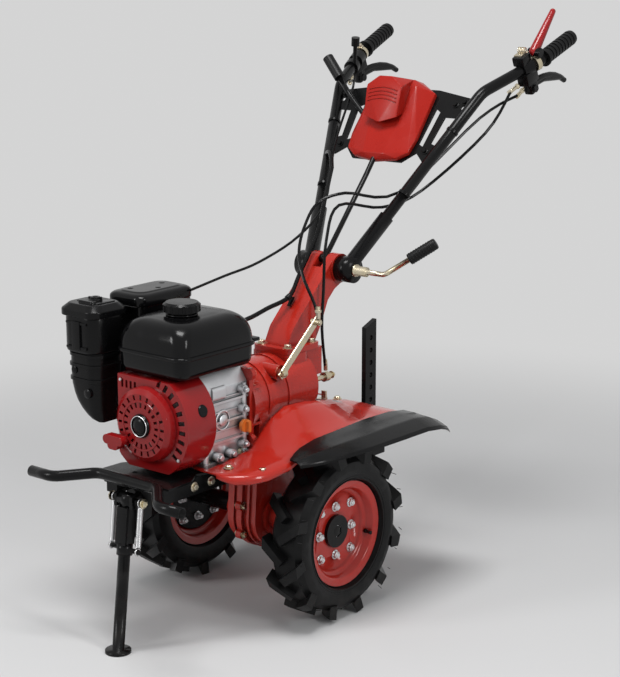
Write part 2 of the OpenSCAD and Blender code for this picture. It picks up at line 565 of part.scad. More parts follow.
// Handlebar: bends of the left bar, from the pivot to the grip end
bar_dir = unit([0, 301, 380]);
bar_bends = [for (b = [[52, 0, 0], [204, 301, 380], [258, 456, 446], [267, 567, 492]]) tilt + b];
bar_slope = unit(bar_bends[1] - bar_bends[0]);
module handlebar_left() color("#161616") body() difference() {
    union() {
        bent_rod(bar_bends, 70, bar_d / 2);
        rod(bar_bends[0] + 16 * bar_slope, bar_bends[0] + 150 * bar_slope, 17);
        x_cyl(tilt, hub_hw + seat, head_x, 29);
    }
    rod(bar_bends[3] - 100 * grip_dir, bar_bends[3] + 10 * grip_dir, bar_d / 2 - 2.5);
}
module handlebar_right() right_side() handlebar_left();
grip_dir = unit(bar_bends[3] - bar_bends[2]);
// Ribbed rubber grip with a stop collar and a closed end
module grip_left() color("#101010") body() difference() {
    union() {
        rod(bar_bends[3] - grip_dir * 108, bar_bends[3] + grip_dir * 8, grip_d / 2 - 1.5);
        for (i = [0 : 8]) rod(bar_bends[3] + grip_dir * (i * 12 - 100), bar_bends[3] + grip_dir * (i * 12 - 94), grip_d / 2);
        rod(bar_bends[3] - grip_dir * 108, bar_bends[3] - grip_dir * 103, grip_d / 2 + 3);
    }
    rod(bar_bends[3] - grip_dir * 120, bar_bends[3] + grip_dir * seat, bar_d / 2 + seat);
}
module grip_right() right_side() grip_left();
// Plate between the bars, drawn along the bar plane from the pivot, with open lightening cut-outs
module bar_plane() {
    translate(tilt) rotate([acos(bar_dir[1]), 0, 0]) children();
}
function on_bar_plane(x, v, w) = tilt + [x, v * bar_dir[1] - w * bar_dir[2], v * bar_dir[2] + w * bar_dir[1]];
function bar_x(v) = 52 + v * 152 / norm([301, 380]);
bar_gap = bar_d / 2 / cos(17.5) + seat;
module panel() color("#161616") body() bar_plane() translate([0, 0, -2]) linear_extrude(4) difference() {
    polygon([[-70, 284], [70, 284], [100, 312], [126, 290], [bar_x(318) - bar_gap, 318], [bar_x(466) - bar_gap, 466], [90, 482],
             [-90, 482], [-bar_x(466) + bar_gap, 466], [-bar_x(318) + bar_gap, 318], [-126, 290], [-100, 312]]);
    for (s = [-1, 1]) {
        polygon([[s * 97, 336], [s * 110, 330], [s * 117, 424], [s * 103, 432]]);
        polygon([[s * 128, 340], [s * 140, 336], [s * 172, 412], [s * 136, 412]]);
        translate([s * 172, 440]) circle(r = 5);
    }
}
// Console: faceted plastic cover on the plate, with a raised hood over its face; rounded points, in the bar plane
console_foot = [[-60, 286], [0, 277], [60, 286], [86, 304], [92, 342], [90, 466], [44, 492], [-44, 492], [-90, 466], [-92, 342], [-86, 304]];
console_face = [[-30, 292, 20], [30, 292, 20], [56, 466, 40], [-56, 466, 40]];
console_brow = [[0, 354, 58], [52, 369, 60], [-52, 369, 60], [60, 436, 82], [-60, 436, 82], [22, 452, 96], [-22, 452, 96],
                [40, 482, 34], [-40, 482, 34], [50, 400, 24], [-50, 400, 24]];
console_mid = [0, 390, 0];
module console_shape(k, lift) hull() {
    translate([0, 0, 2 + seat - lift]) linear_extrude(12 + lift) polygon([for (p = console_foot) console_mid_2 + (p - console_mid_2) * k]);
    for (p = console_face) translate([p[0] * k, console_mid[1] + (p[1] - console_mid[1]) * k, p[2] - 4 * lift]) sphere(r = 4, $fn = 10);
}
console_mid_2 = [console_mid[0], console_mid[1]];
module console() color("#c01818") body() difference() {
    bar_plane() difference() {
        union() {
            console_shape(1, 0);
            hull() for (p = console_brow) translate(p) sphere(r = 4, $fn = 10);
        }
        console_shape(0.94, 1);
    }
    bent_rod(gear_bends, 20, 9.5, 16);
}
// Hand levers on clamped perches
perch_dir = unit(bar_bends[2] - bar_bends[1]);
perch = bar_bends[2] - 44 * perch_dir;
lever_tip = [247, 817.7, 1095] - [0, 234, 702] + tilt;
module lever_left() color("#141414") body() difference() {
    union() {
        rod(perch - perch_dir * 15, perch + perch_dir * 15, bar_d / 2 + 5);
        rod(perch - [0, -6, 10], perch + [2, 12, -52], 10);
        bent_rod([perch + [2, 8, -44], perch + [4, 70, -28], lever_tip + [0, -20, 8], lever_tip], 14, 6.5, 16);
    }
    rod(perch - perch_dir * 30, perch + perch_dir * 30, bar_d / 2 + seat);
}
module lever_right() right_side() lever_left();
// Red stop lever standing on the left perch
red_foot = perch + perch_dir * 14 + [2, 10, 31.6];
red_tip = tilt + [263, 496, 556];
module red_lever() color("#d02020") body() hull() {
    translate(red_foot) sphere(r = 12, $fn = 24);
    translate(red_tip) sphere(r = 7, $fn = 24);
}
// Throttle lever on the right bar: clamp ring, quadrant and knob
throttle_at = bar_bends[2] - 86 * perch_dir;
module throttle_lever() color("#303030") body() right_side() difference() {
    union() {
        rod(throttle_at - perch_dir * 9, throttle_at + perch_dir * 9, bar_d / 2 + 5);
        rod(throttle_at + [-14, -8, 10], throttle_at + [-22, -16, 58], 5);
        rod(throttle_at + [-21.5, -15.5, 52], throttle_at + [-25, -19, 72], 10);
    }
    rod(throttle_at - perch_dir * 30, throttle_at + perch_dir * 30, bar_d / 2 + seat);
}
// Gear lever: rod out of the hub slot, up the middle, behind the console and out to its knob
gear_bends = [on_bar_plane(0, 8, 22), on_bar_plane(0, 240, 12), on_bar_plane(0, 345, 12), on_bar_plane(-84, 396, 14),
              on_bar_plane(-130, 432, 30), on_bar_plane(-168, 468, 50)];
module gear_lever() color("#202020") body() {
    bent_rod(gear_bends, 20, 6, 16);
    x_cyl(gear_bends[0], seat - slot_hw, slot_hw - seat, 9);
}
module gear_knob() color("#101010") body() {
    d = unit(gear_bends[5] - gear_bends[4]);
    rod(gear_bends[5] + d * seat, gear_bends[5] + d * 62, 13);
}

// Stand: leg with a foot plate, pivot sleeve and cross pin, and two return springs beside it
foot = [0, -450, -rise];
leg_top = [0, stand_y, stand_z];
leg_dir = unit(foot - leg_top);
spring_x = 37;
cross_pin = leg_top + leg_dir * 102;
module stand_leg() color("#151515") body() {
    translate(foot) cylinder(h = 6, r = 27);
    rod(foot + [0, 0, 4], leg_top, leg_d / 2);
    rod(cross_pin - leg_dir * 12, cross_pin + leg_dir * 12, leg_d / 2 + 4);
    x_cyl(leg_top, -17, 17, 15);
    x_cyl(leg_top, -spring_x - 7, spring_x + 7, 6);
    x_cyl(cross_pin, -spring_x - 5, spring_x + 5, 5);
}
spring_turns = 13;
spring_steps = 8;
module stand_springs() color("silver") body() {
    start = leg_top + leg_dir * (6 + 2 + seat);
    span = 102 - 5 - 6 - 2 * (2 + seat);
    side = unit(cross(leg_dir, [1, 0, 0]));
    for (x = [-spring_x, spring_x])
        sweep([for (k = [0 : spring_turns * spring_steps]) let (a = 360 * k / spring_steps, t = k / (spring_turns * spring_steps))
               start + [x, 0, 0] + leg_dir * span * t + 5 * (cos(a) * [1, 0, 0] + sin(a) * side)], 1.8, 5);
}

// Cables, each from its lever to what it pulls
module clutch_cable() color("#101010") body() cable([perch + [-22, 6, -62], perch + [-60, -95, -110], tilt + [95, 140, 162],
    tilt + [30, 22, 167], tilt + [-5, -31, 147], tilt + [0, -82, 105], tilt + [15, -121, 56], tilt + [44, -144, 7],
    tilt + [78, -146, -50], [arm_x + 15, arm_top[1], arm_top[2] + 8.5]], 3.5);
module reverse_cable() color("#101010") body() cable([perch + [-26, -20, -52], perch + [-38, -104, -142], tilt + [112, 200, 160],
    tilt + [75, 100, 130], tilt + [46, -20, 146], tilt + [48, -67, 74], tilt + [50, -79, -36], [50, 150, box_z + 37],
    reverse_pin + [0, -10, 15]], 3.5);
module throttle_cable() color("#101010") body() cable([[-100.9, -112, 689], [-92, -13, 706], [-72, 80, 726], tilt + [-64, -27, 66],
    tilt + [-74, 80, 130], tilt + [-105, 150, 245], tilt + [-150, 280, 375], throttle_at + [-2 * throttle_at[0] + 10, -20, -34]], 3);
module loom() color("#101010") body() cable([[-30, -110.6, 613], [-30, -10, 618], [-20, 48, 634], [-8, 106, 652], tilt + [-16, -84, -10],
    tilt + [-32, 0, 72], tilt + [-46, 44, 141], tilt + [-80, 112, 205]], 5);

axle();
hub_left();
hub_right();
rim_left();
rim_right();
tyre_left();
tyre_right();
lower_case();
gearbox();
column();
clamp_handle();
clutch_arm();
reverse_arm();
crankcase();
cylinder_head();
fan_shroud();
pull_starter();
starter_disc();
starter_grip();
fuel_tank();
tank_cap();
air_cleaner();
air_cleaner_lid();
muffler();
carburettor();
dipstick();
front_frame();
bumper();
fender_left();
fender_right();
flap_left();
flap_right();
hitch();
depth_stake();
stake_pin();
handlebar_left();
handlebar_right();
grip_left();
grip_right();
panel();
console();
lever_left();
lever_right();
red_lever();
throttle_lever();
gear_lever();
gear_knob();
stand_leg();
stand_springs();
clutch_cable();
reverse_cable();
throttle_cable();
loom();
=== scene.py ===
import json
import math
import random

import bmesh
import bpy
from mathutils import Matrix, Vector


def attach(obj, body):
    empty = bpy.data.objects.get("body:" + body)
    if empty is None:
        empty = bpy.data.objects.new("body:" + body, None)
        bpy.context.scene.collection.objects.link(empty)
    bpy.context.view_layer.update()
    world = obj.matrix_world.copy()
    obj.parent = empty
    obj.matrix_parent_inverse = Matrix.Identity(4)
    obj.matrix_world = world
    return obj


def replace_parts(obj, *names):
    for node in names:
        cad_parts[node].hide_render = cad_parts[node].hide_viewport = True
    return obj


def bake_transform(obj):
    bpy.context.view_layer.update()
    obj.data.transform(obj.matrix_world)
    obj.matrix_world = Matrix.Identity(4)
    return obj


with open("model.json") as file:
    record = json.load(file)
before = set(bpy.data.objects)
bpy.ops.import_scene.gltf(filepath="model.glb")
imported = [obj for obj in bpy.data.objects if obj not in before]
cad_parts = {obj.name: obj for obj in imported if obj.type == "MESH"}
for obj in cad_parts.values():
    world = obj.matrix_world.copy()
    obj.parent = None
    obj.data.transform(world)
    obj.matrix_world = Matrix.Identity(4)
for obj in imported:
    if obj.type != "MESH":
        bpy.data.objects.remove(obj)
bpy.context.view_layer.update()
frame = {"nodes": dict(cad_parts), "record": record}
rng = random.Random(7)
scene = bpy.context.scene

# Places are in millimetres: x from the middle, y from the wheel axle and z from the floor.
# at() gives the frame's metres.
MM = 1000
FRAME_Y = 165.8
AXLE_Z = 185
WHEEL_X = 205.5
CRANK_Z = 463
STAND_Y, STAND_Z = -412, 318
PIVOT = Vector((0, 234, 702))
X = Vector((1, 0, 0))
UP, BACK, FRONT = (0, 0, 1), (0, 1, 0), (0, -1, 0)


def at(x, y, z):
    return Vector((x / MM, (y - FRAME_Y) / MM, z / MM))


# Materials: one node tree each, with noise in colour, roughness and surface, and painted shade in hollows
ROUGH_SWING = 0.12
COAT_ROUGH = 0.08
BUMP_DEPTH = 0.0006
DUST_COLOUR = (0.2, 0.18, 0.16)
# Painted shade in hollows: how far the darkening reaches, its samples and how dark it gets
PAINTED_SHADE_REACH = 0.014
PAINTED_SHADE_SAMPLES = 8
PAINTED_SHADE_DARK = 0.12


def material(name, colour, tint, rough, grain, bump, metal=0.0, tint_amount=0.25, tint_scale=9.0,
             coat=0.0, dust=0.0, dust_top=0.25, shine=0.5, painted_shade=0.0):
    m = bpy.data.materials.new(name)
    m.use_nodes = True
    nodes, links = m.node_tree.nodes, m.node_tree.links
    shader = nodes["Principled BSDF"]
    where = nodes.new("ShaderNodeTexCoord").outputs["Object"]

    def noise(scale, detail):
        n = nodes.new("ShaderNodeTexNoise")
        n.inputs["Scale"].default_value = scale
        n.inputs["Detail"].default_value = detail
        links.new(where, n.inputs["Vector"])
        return n.outputs["Fac"]

    def ramp(source, low, high, a, b):
        r = nodes.new("ShaderNodeMapRange")
        r.inputs["From Min"].default_value = low
        r.inputs["From Max"].default_value = high
        r.inputs["To Min"].default_value = a
        r.inputs["To Max"].default_value = b
        links.new(source, r.inputs["Value"])
        return r.outputs["Result"]

    def mix(factor, a, b):
        x = nodes.new("ShaderNodeMix")
        x.data_type = "RGBA"
        links.new(factor, x.inputs["Factor"])
        for socket, value in ((x.inputs[6], a), (x.inputs[7], b)):
            if isinstance(value, tuple):
                socket.default_value = (*value, 1)
            else:
                links.new(value, socket)
        return x.outputs[2]

    tone = mix(ramp(noise(tint_scale, 5), 0.35, 0.7, 0, tint_amount), colour, tint)
    if dust:
        height = nodes.new("ShaderNodeSeparateXYZ")
        links.new(where, height.inputs["Vector"])
        fall = ramp(height.outputs["Z"], 0.0, dust_top, dust, 0.0)
        specks = ramp(noise(45, 8), 0.4, 0.65, 0, 1)
        tone = mix(maths(m.node_tree, "MULTIPLY", fall, specks), tone, DUST_COLOUR)
    # Painted shade: the colour darkens towards a near-black copy of itself in hollows, creases and gaps
    # between parts
    if painted_shade:
        corner = nodes.new("ShaderNodeAmbientOcclusion")
        corner.samples = PAINTED_SHADE_SAMPLES
        corner.inputs["Distance"].default_value = PAINTED_SHADE_REACH
        shade_amount = ramp(corner.outputs["AO"], 0.35, 0.95, painted_shade, 0.0)
        tone = mix(shade_amount, tone, tuple(c * PAINTED_SHADE_DARK for c in colour))
    links.new(tone, shader.inputs["Base Color"])
    swing = ramp(noise(24, 6), 0.3, 0.7, rough - ROUGH_SWING / 2, rough + ROUGH_SWING / 2)
    links.new(swing, shader.inputs["Roughness"])
    shader.inputs["Metallic"].default_value = metal
    shader.inputs["Specular IOR Level"].default_value = shine
    shader.inputs["Coat Weight"].default_value = coat
    shader.inputs["Coat Roughness"].default_value = COAT_ROUGH
    b = nodes.new("ShaderNodeBump")
    b.inputs["Strength"].default_value = bump
    b.inputs["Distance"].default_value = BUMP_DEPTH
    links.new(noise(grain, 3), b.inputs["Height"])
    links.new(b.outputs["Normal"], shader.inputs["Normal"])
    return m


def maths(tree, operation, a, b):
    """Socket with two values joined by one operation."""
    node = tree.nodes.new("ShaderNodeMath")
    node.operation = operation
    tree.links.new(a, node.inputs[0])
    tree.links.new(b, node.inputs[1])
    return node.outputs[0]


# Looks of the slots; where a look has a last setting after shine, it is the strength of the painted shade
# in hollows
LOOKS = {
    "red_paint": dict(colour=(0.47, 0.020, 0.011), tint=(0.36, 0.012, 0.008), rough=0.2, grain=260,
                      bump=0.02, coat=0.3, dust=0.08, shine=0.3, painted_shade=0.6),
    "red_casting": dict(colour=(0.47, 0.021, 0.011), tint=(0.36, 0.012, 0.008), rough=0.25, grain=320,
                        bump=0.1, coat=0.3, dust=0.12, shine=0.3, painted_shade=0.7),
    "red_plastic": dict(colour=(0.38, 0.014, 0.008), tint=(0.30, 0.010, 0.006), rough=0.28, grain=900,
                        bump=0.03, shine=0.2, painted_shade=0.35),
    "black_paint": dict(colour=(0.0035, 0.0035, 0.0038), tint=(0.006, 0.0058, 0.0056), rough=0.24,
                        grain=500, bump=0.03, dust=0.05, shine=0.18),
    "black_plastic": dict(colour=(0.0035, 0.0035, 0.0038), tint=(0.006, 0.006, 0.0064), rough=0.24,
                          grain=1100, bump=0.04, shine=0.18),
    "black_gloss": dict(colour=(0.003, 0.003, 0.0033), tint=(0.005, 0.005, 0.0055), rough=0.16,
                        grain=220, bump=0.02, shine=0.2),
    "tyre_rubber": dict(colour=(0.0045, 0.0045, 0.0048), tint=(0.008, 0.0076, 0.0074), rough=0.34,
                        grain=700, bump=0.2, dust=0.08, dust_top=0.1, shine=0.17),
    "grip_rubber": dict(colour=(0.0035, 0.0035, 0.0038), tint=(0.006, 0.006, 0.006), rough=0.4,
                        grain=900, bump=0.25, shine=0.22),
    "cast_alloy": dict(colour=(0.76, 0.77, 0.79), tint=(0.56, 0.57, 0.59), tint_scale=30, rough=0.36,
                       grain=650, bump=0.4, metal=0.8, painted_shade=0.95),
    "steel": dict(colour=(0.74, 0.74, 0.75), tint=(0.56, 0.55, 0.54), tint_scale=40, rough=0.3,
                  grain=500, bump=0.12, metal=0.9),
    "zinc": dict(colour=(0.66, 0.58, 0.40), tint=(0.55, 0.50, 0.44), tint_scale=34, tint_amount=0.7,
                 rough=0.28, grain=500, bump=0.12, metal=1.0),
    "orange_plastic": dict(colour=(0.75, 0.2, 0.03), tint=(0.6, 0.14, 0.02), rough=0.35, grain=800,
                           bump=0.1),
}
MATERIALS = {slot: material(slot, **look) for slot, look in LOOKS.items()}
# Darker red for the shroud and its parts, also with painted shade in hollows
SHROUD_RED = material("shroud_red", (0.30, 0.008, 0.009), (0.22, 0.005, 0.006), 0.17, 300, 0.01,
                      coat=0.2, shine=0.28, painted_shade=0.6)
SHROUD_RED_NODES = ("fan_shroud", "starter_grip", "pull_starter", "red_lever")
SLOT = {p["node"]: p["material_slot"] for p in frame["record"]["subparts"]}
for name, obj in frame["nodes"].items():
    obj.data.materials.clear()
    obj.data.materials.append(SHROUD_RED if name in SHROUD_RED_NODES else MATERIALS[SLOT[name]])


def around(u, v, n):
    """Directions round a circle with the axes u and v."""
    angles = (2 * math.pi * k / n for k in range(n))
    return [u * math.cos(a) + v * math.sin(a) for a in angles]


# Meshes: each Part gathers the faces of one body and one material slot into one object
HEAD_LIFT = 0.0015


class Part:
    def __init__(self, name, body, slot):
        self.name, self.body, self.slot = name, body, slot
        self.bm = bmesh.new()

    def solid(self, rings, hub_hole_shade=True):
        """Closed rings of points of equal count, joined into a tube."""
        rows = [[self.bm.verts.new(p) for p in ring] for ring in rings]
        n = len(rows[0])
        for a, b in zip(rows, rows[1:]):
            for k in range(n):
                self.bm.faces.new((a[k], a[(k + 1) % n], b[(k + 1) % n], b[k]))
        if hub_hole_shade:
            self.bm.faces.new(rows[0][::-1])
            self.bm.faces.new(rows[-1])

    def turned(self, start, axis, profile, n=24):
        """Solid of revolution; the profile has (distance along the axis, radius)."""
        axis = Vector(axis).normalized()
        u = axis.orthogonal().normalized()
        ways = around(u, axis.cross(u), n)
        self.solid([[start + axis * (d / MM) + way * (r / MM) for way in ways] for d, r in profile])

    def bolt(self, start, axis, flats=13, height=6, washer=True):
        """Hexagon head, sized by its width across flats, on a washer."""
        axis = Vector(axis).normalized()
        if washer:
            self.turned(start, axis, [(0, flats * 0.85), (1.4, flats * 0.85), (1.6, flats * 0.8)], 20)
        head = [(0, flats / 1.75), (height * 0.8, flats / 1.75), (height, flats / 2.1)]
        self.turned(start + axis * HEAD_LIFT, axis, head, 6)

    def ring(self, centre, axis, radius, thick, n=48, m=8):
        """Torus of n sections with m sides each."""
        axis = Vector(axis).normalized()
        u = axis.orthogonal().normalized()
        turns = [2 * math.pi * j / m for j in range(m)]
        rows = []
        for way in around(u, axis.cross(u), n):
            rows.append([self.bm.verts.new(centre + way * ((radius + thick * math.cos(a)) / MM)
                                           + axis * (thick * math.sin(a) / MM)) for a in turns])
        for k in range(n):
            a, b = rows[k], rows[(k + 1) % n]
            for j in range(m):
                self.bm.faces.new((a[j], b[j], b[(j + 1) % m], a[(j + 1) % m]))

    def tube(self, points, r, n=10):
        """Round bar along a line of points."""
        rings = []
        u = None
        for i, p in enumerate(points):
            t = (points[min(i + 1, len(points) - 1)] - points[max(i - 1, 0)]).normalized()
            u = t.orthogonal().normalized() if u is None else (u - t * u.dot(t)).normalized()
            rings.append([p + way * (r / MM) for way in around(u, t.cross(u), n)])
        self.solid(rings)

    def box(self, centre, size, rot=None, bevel=0.0):
        made = bmesh.ops.create_cube(self.bm, size=1.0)["verts"]
        scale = Matrix.Diagonal((*[s / MM for s in size], 1))
        place = Matrix.Translation(centre) @ (rot.to_4x4() if rot else Matrix()) @ scale
        bmesh.ops.transform(self.bm, matrix=place, verts=made)
        if bevel:
            edges = list({e for v in made for e in v.link_edges})
            bmesh.ops.bevel(self.bm, geom=edges, offset=bevel / MM, segments=2, affect="EDGES",
                            profile=0.7)

    def done(self, smooth=35):
        bmesh.ops.recalc_face_normals(self.bm, faces=self.bm.faces[:])
        mesh = bpy.data.meshes.new(self.name)
        self.bm.to_mesh(mesh)
        self.bm.free()
        return put(self.name, mesh, self.body, self.slot, smooth)


def put(name, mesh, body, slot, smooth):
    """Object in the scene; edges sharper than smooth degrees stay sharp."""
    obj = bpy.data.objects.new(name, mesh)
    scene.collection.objects.link(obj)
    mesh.materials.clear()
    mesh.materials.append(MATERIALS[slot])
    mesh.shade_smooth()
    mesh.set_sharp_from_angle(angle=math.radians(smooth))
    if body:
        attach(obj, body)
    return obj


WELD = 0.00002
FLAT_ANGLE, BEVEL_ANGLE = math.radians(2), math.radians(32)


def applied(obj, kind, **settings):
    """Bake one modifier into the object's mesh."""
    modifier = obj.modifiers.new(kind.lower(), kind)
    for key, value in settings.items():
        setattr(modifier, key, value)
    solved = obj.evaluated_get(bpy.context.evaluated_depsgraph_get())
    mesh = bpy.data.meshes.new_from_object(solved)
    obj.modifiers.clear()
    obj.data = mesh
    return mesh


def polished(node, body, width, smooth):
    """Copy of a CAD node, with edges softened where it has a width, shown in its place."""
    mesh = frame["nodes"][node].data.copy()
    bm = bmesh.new()
    bm.from_mesh(mesh)
    bmesh.ops.remove_doubles(bm, verts=bm.verts[:], dist=WELD)
    if width:
        bmesh.ops.dissolve_limit(bm, angle_limit=FLAT_ANGLE, verts=bm.verts[:], edges=bm.edges[:])
    bm.to_mesh(mesh)
    bm.free()
    obj = put(node + "_look", mesh, body, SLOT[node], smooth)
    if width:
        mesh = applied(obj, "BEVEL", width=width / MM, segments=2, limit_method="ANGLE",
                       angle_limit=BEVEL_ANGLE)
        mesh.shade_smooth()
        mesh.set_sharp_from_angle(angle=math.radians(smooth))
        applied(obj, "WEIGHTED_NORMAL", keep_sharp=True)
    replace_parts(obj, node)
    return obj


# Node, body, width of the softened edges and angle of the sharp ones
POLISHED = (
    ("column", "chassis", 3.0, 40),
    ("lower_case", "chassis", 1.5, 35),
    ("crankcase", "chassis", 1.5, 35),
    ("front_frame", "chassis", 1.0, 30),
    ("panel", "handlebar", 0.8, 30),
    ("hitch", "chassis", 1.5, 30),
    ("fan_shroud", "chassis", 1.6, 35),
    ("depth_stake", "chassis", 0.8, 30),
    ("clutch_arm", "chassis", 0.8, 35),
    ("tyre_left", "wheels", 1.6, 40),
    ("tyre_right", "wheels", 1.6, 40),
    ("fender_left", "chassis", 0.0, 50),
    ("fender_right", "chassis", 0.0, 50),
    ("flap_left", "chassis", 0.6, 25),
    ("flap_right", "chassis", 0.6, 25),
    ("starter_grip", "chassis", 2.5, 50),
    ("cylinder_head", "chassis", 0.8, 30),
    ("air_cleaner_lid", "chassis", 2.0, 40),
    ("tank_cap", "chassis", 1.0, 35),
    ("pull_starter", "chassis", 0.6, 30),
    ("gearbox", "chassis", 1.2, 35),
    ("handlebar_left", "handlebar", 0.0, 50),
    ("handlebar_right", "handlebar", 0.0, 50),
    ("bumper", "chassis", 0.0, 50),
    ("red_lever", "handlebar", 0.0, 70),
    ("stand_leg", "stand", 0.0, 50),
    ("gear_lever", "handlebar", 0.0, 50),
    ("rim_left", "wheels", 0.0, 35),
    ("rim_right", "wheels", 0.0, 35),
    ("clamp_handle", "chassis", 0.0, 50),
)
for node, body, width, smooth in POLISHED:
    look = polished(node, body, width, smooth)
    if node in SHROUD_RED_NODES:
        look.data.materials[0] = SHROUD_RED

# Cables run between the machine and the bar; each is shown by a smooth copy of its CAD node
CABLES = (
    ("clutch_cable", (91, 86, 611), (95, 374, 864)),
    ("reverse_cable", (44, 166, 500), (100, 400, 850)),
    ("throttle_cable", (-92, -13, 706), (-105, 384, 947)),
    ("loom", (-8, 106, 652), (-80, 346, 907)),
)
for node, low, high in CABLES:
    cable = put(node + "_look", frame["nodes"][node].data.copy(), None, SLOT[node], 60)
    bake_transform(cable)
    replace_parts(cable, node)

# Wheels: bolts and their nuts, sidewall ribs, moulding hairs, valves, and black discs on the axle ends as
# painted shade of the hollow hubs
RIM_FACE = WHEEL_X + 2.3
DISC_BACK = 0.0119
NUT_LIFT = 0.0012
HAIR_RADIUS = 178
VALVE_RADIUS = 94
VALVE = [(0, 5), (6, 4.5), (7, 3.6), (14, 3.6), (15, 4.2), (20, 4.2), (21, 3)]
bolts = Part("wheel_bolts", "wheels", "steel")
rubber = Part("tyre_ribs", "wheels", "tyre_rubber")
valves = Part("valves", "wheels", "black_plastic")


def on_wheel(x, radius, a):
    return at(x, radius * math.sin(a), AXLE_Z - radius * math.cos(a))


def wheel_bolt(place, axis, head, stud_from, stud):
    bolts.turned(place, axis, [(0, 10.5), (1.2, 10.5), (1.5, 10.2)], 24)
    bolts.turned(place + axis * NUT_LIFT, axis, head, 6)
    bolts.turned(place + axis * stud_from, axis, stud, 12)


for side in (1, -1):
    outward = X * side
    for radius, phase in ((54, 0), (72.5, 45)):
        for i in range(4):
            p = on_wheel(side * RIM_FACE, radius, math.radians(phase + 90 * i))
            wheel_bolt(p, outward, [(0, 8.6), (5.6, 8.6), (7.2, 7.2)], 0.006, [(0, 5), (4, 5), (5, 4.2)])
            wheel_bolt(p - outward * DISC_BACK, -outward, [(0, 8.6), (6.6, 8.6), (8, 7.4)], 0.007,
                       [(0, 5), (7, 5), (8, 4.2)])
    for radius, thick in ((121, 1.3), (127, 0.9), (133, 0.9)):
        rib_x = WHEEL_X + 40.6 + (radius - 121) * 0.13
        rubber.ring(at(side * rib_x, 0, AXLE_Z), X, radius, thick, 96, 6)
    for i in range(24):
        a = math.radians(15 * i + 5)
        if math.cos(a) < 0.93:  # none under the tyre, where it stands on the floor
            p = on_wheel(side * (WHEEL_X + 43), HAIR_RADIUS, a)
            lean = Vector((0, rng.uniform(-0.5, 0.5), rng.uniform(-0.5, 0.5)))
            lean = (outward + lean).normalized()
            rubber.tube([p, p + lean * 0.006, p + lean * rng.uniform(0.009, 0.013)], 0.7, 5)
    a = math.radians(76)
    p = on_wheel(side * (WHEEL_X + 14), VALVE_RADIUS, a)
    valves.turned(p, (side * 0.9, -0.25 * math.sin(a), 0.25 * math.cos(a)), VALVE, 12)
bolts.done()
# Painted shade: a thin black disc over each axle end stands for the dark hollow of the hub
hub_hole_shade = Part("painted_hole_shade", "wheels", "black_paint")
for side in (1, -1):
    hub_hole_shade.turned(at(side * 213.6, 0, AXLE_Z), X * side, [(0, 13.6), (0.5, 13.6), (0.9, 12)], 6)
hub_hole_shade.done()
rubber.done(60)
valves.done()

# Bolts of the column's foot, bell, lower case, fenders, engine base, rail and stand pin,
# then the gearbox plug and the clutch arm's pin
CASE_BOLTS = ((-70, 150), (-70, 215), (-62, 280), (-60, 340),
              (70, 150), (70, 215), (62, 280), (60, 340), (0, 112))
steel = Part("machine_bolts", "chassis", "zinc")
for x in (-38, 38):
    for y in (46, 128):
        steel.bolt(at(x, y, 553), UP, 13, 7)
for z in (-72, 72):
    for x in (-76, 76):
        steel.bolt(at(x, -116, CRANK_Z + z), BACK, 13, 7)
for y, z in CASE_BOLTS:
    for side in (1, -1):
        steel.bolt(at(7 * side, y, z), X * side, 11, 6)
for side in (1, -1):
    for x, y, z in ((120, -240, 366), (182, -205, 364), (70, 180, 416)):
        steel.bolt(at(side * x, y, z), UP, 12, 5)
for y in (-250, -146):
    steel.bolt(at(66, y, 369), UP, 12, 7)
for y in (-300, -250, -200):
    steel.bolt(at(79, y, 333), X, 12, 6)
for side in (1, -1):
    steel.bolt(at(side * 44.2, STAND_Y, STAND_Z), X * side, 12, 5)
steel.turned(at(88, -25, 518), X, [(0, 8), (5, 8), (6, 6)], 6)
steel.turned(at(94, 86, 611), X, [(0, 5), (4, 5), (5, 4)], 12)
steel.done()

# Crankcase: bolts, round boss and ribs on the side that the photo shows
alloy = Part("engine_details", "chassis", "cast_alloy")
for z in (391, 467, 509):
    alloy.bolt(at(88, -150.3, z), X, 10, 6, washer=False)
for y in (-226, -186):
    alloy.bolt(at(84, y, 377), X, 12, 6)
alloy.ring(at(72.5, -205, 452), X, 20, 2.4, 40, 8)
alloy.turned(at(71, -205, 452), X, [(0, 12), (5, 12), (7, 9)], 24)
for z in (410, 430, 470, 500):
    alloy.box(at(72.8, -200, z), (3, 92, 3), bevel=1)
alloy.done()

# Fan shroud and starter: screws, bright ring, band between the slots, side knob, hub and disc
BAND = ((48, -369.4), (48.8, -371), (53.2, -371), (54, -369.4))
BAND_STEPS = 96
screws = Part("shroud_screws", "chassis", "steel")
for a in (math.radians(20), math.radians(140), math.radians(260)):
    screws.bolt(at(70 * math.cos(a), -361, CRANK_Z + 70 * math.sin(a)), FRONT, 6, 3, washer=False)
for x, z in ((-74, 400), (-74, 545), (86, 402)):
    screws.bolt(at(x, -350, z), FRONT, 6, 3, washer=False)
screws.ring(at(0, -376.2, CRANK_Z), BACK, 21.5, 0.9, 56, 8)
screws.done()
band = Part("starter_band", "chassis", "red_paint")
rings = []
for k in range(BAND_STEPS + 1):
    a = 2 * math.pi * k / BAND_STEPS
    rings.append([at(r * math.cos(a), y, CRANK_Z + r * math.sin(a)) for r, y in BAND])
band.solid(rings, hub_hole_shade=False)
band.done(40).data.materials[0] = SHROUD_RED
knob = Part("shroud_knob", "chassis", "black_plastic")
knob.turned(at(103, -300, 497), (0.95, 0, 0.3), [(0, 13), (4, 13), (6, 11)], 28)
knob.done()
hub = Part("starter_hub", "chassis", "black_plastic")
hub.turned(at(0, -372, CRANK_Z), FRONT, [(0, 16), (4, 16), (5.5, 14), (6.5, 8)], 40)
hub.done()
boss = Part("starter_disc_look", "chassis", "black_plastic")
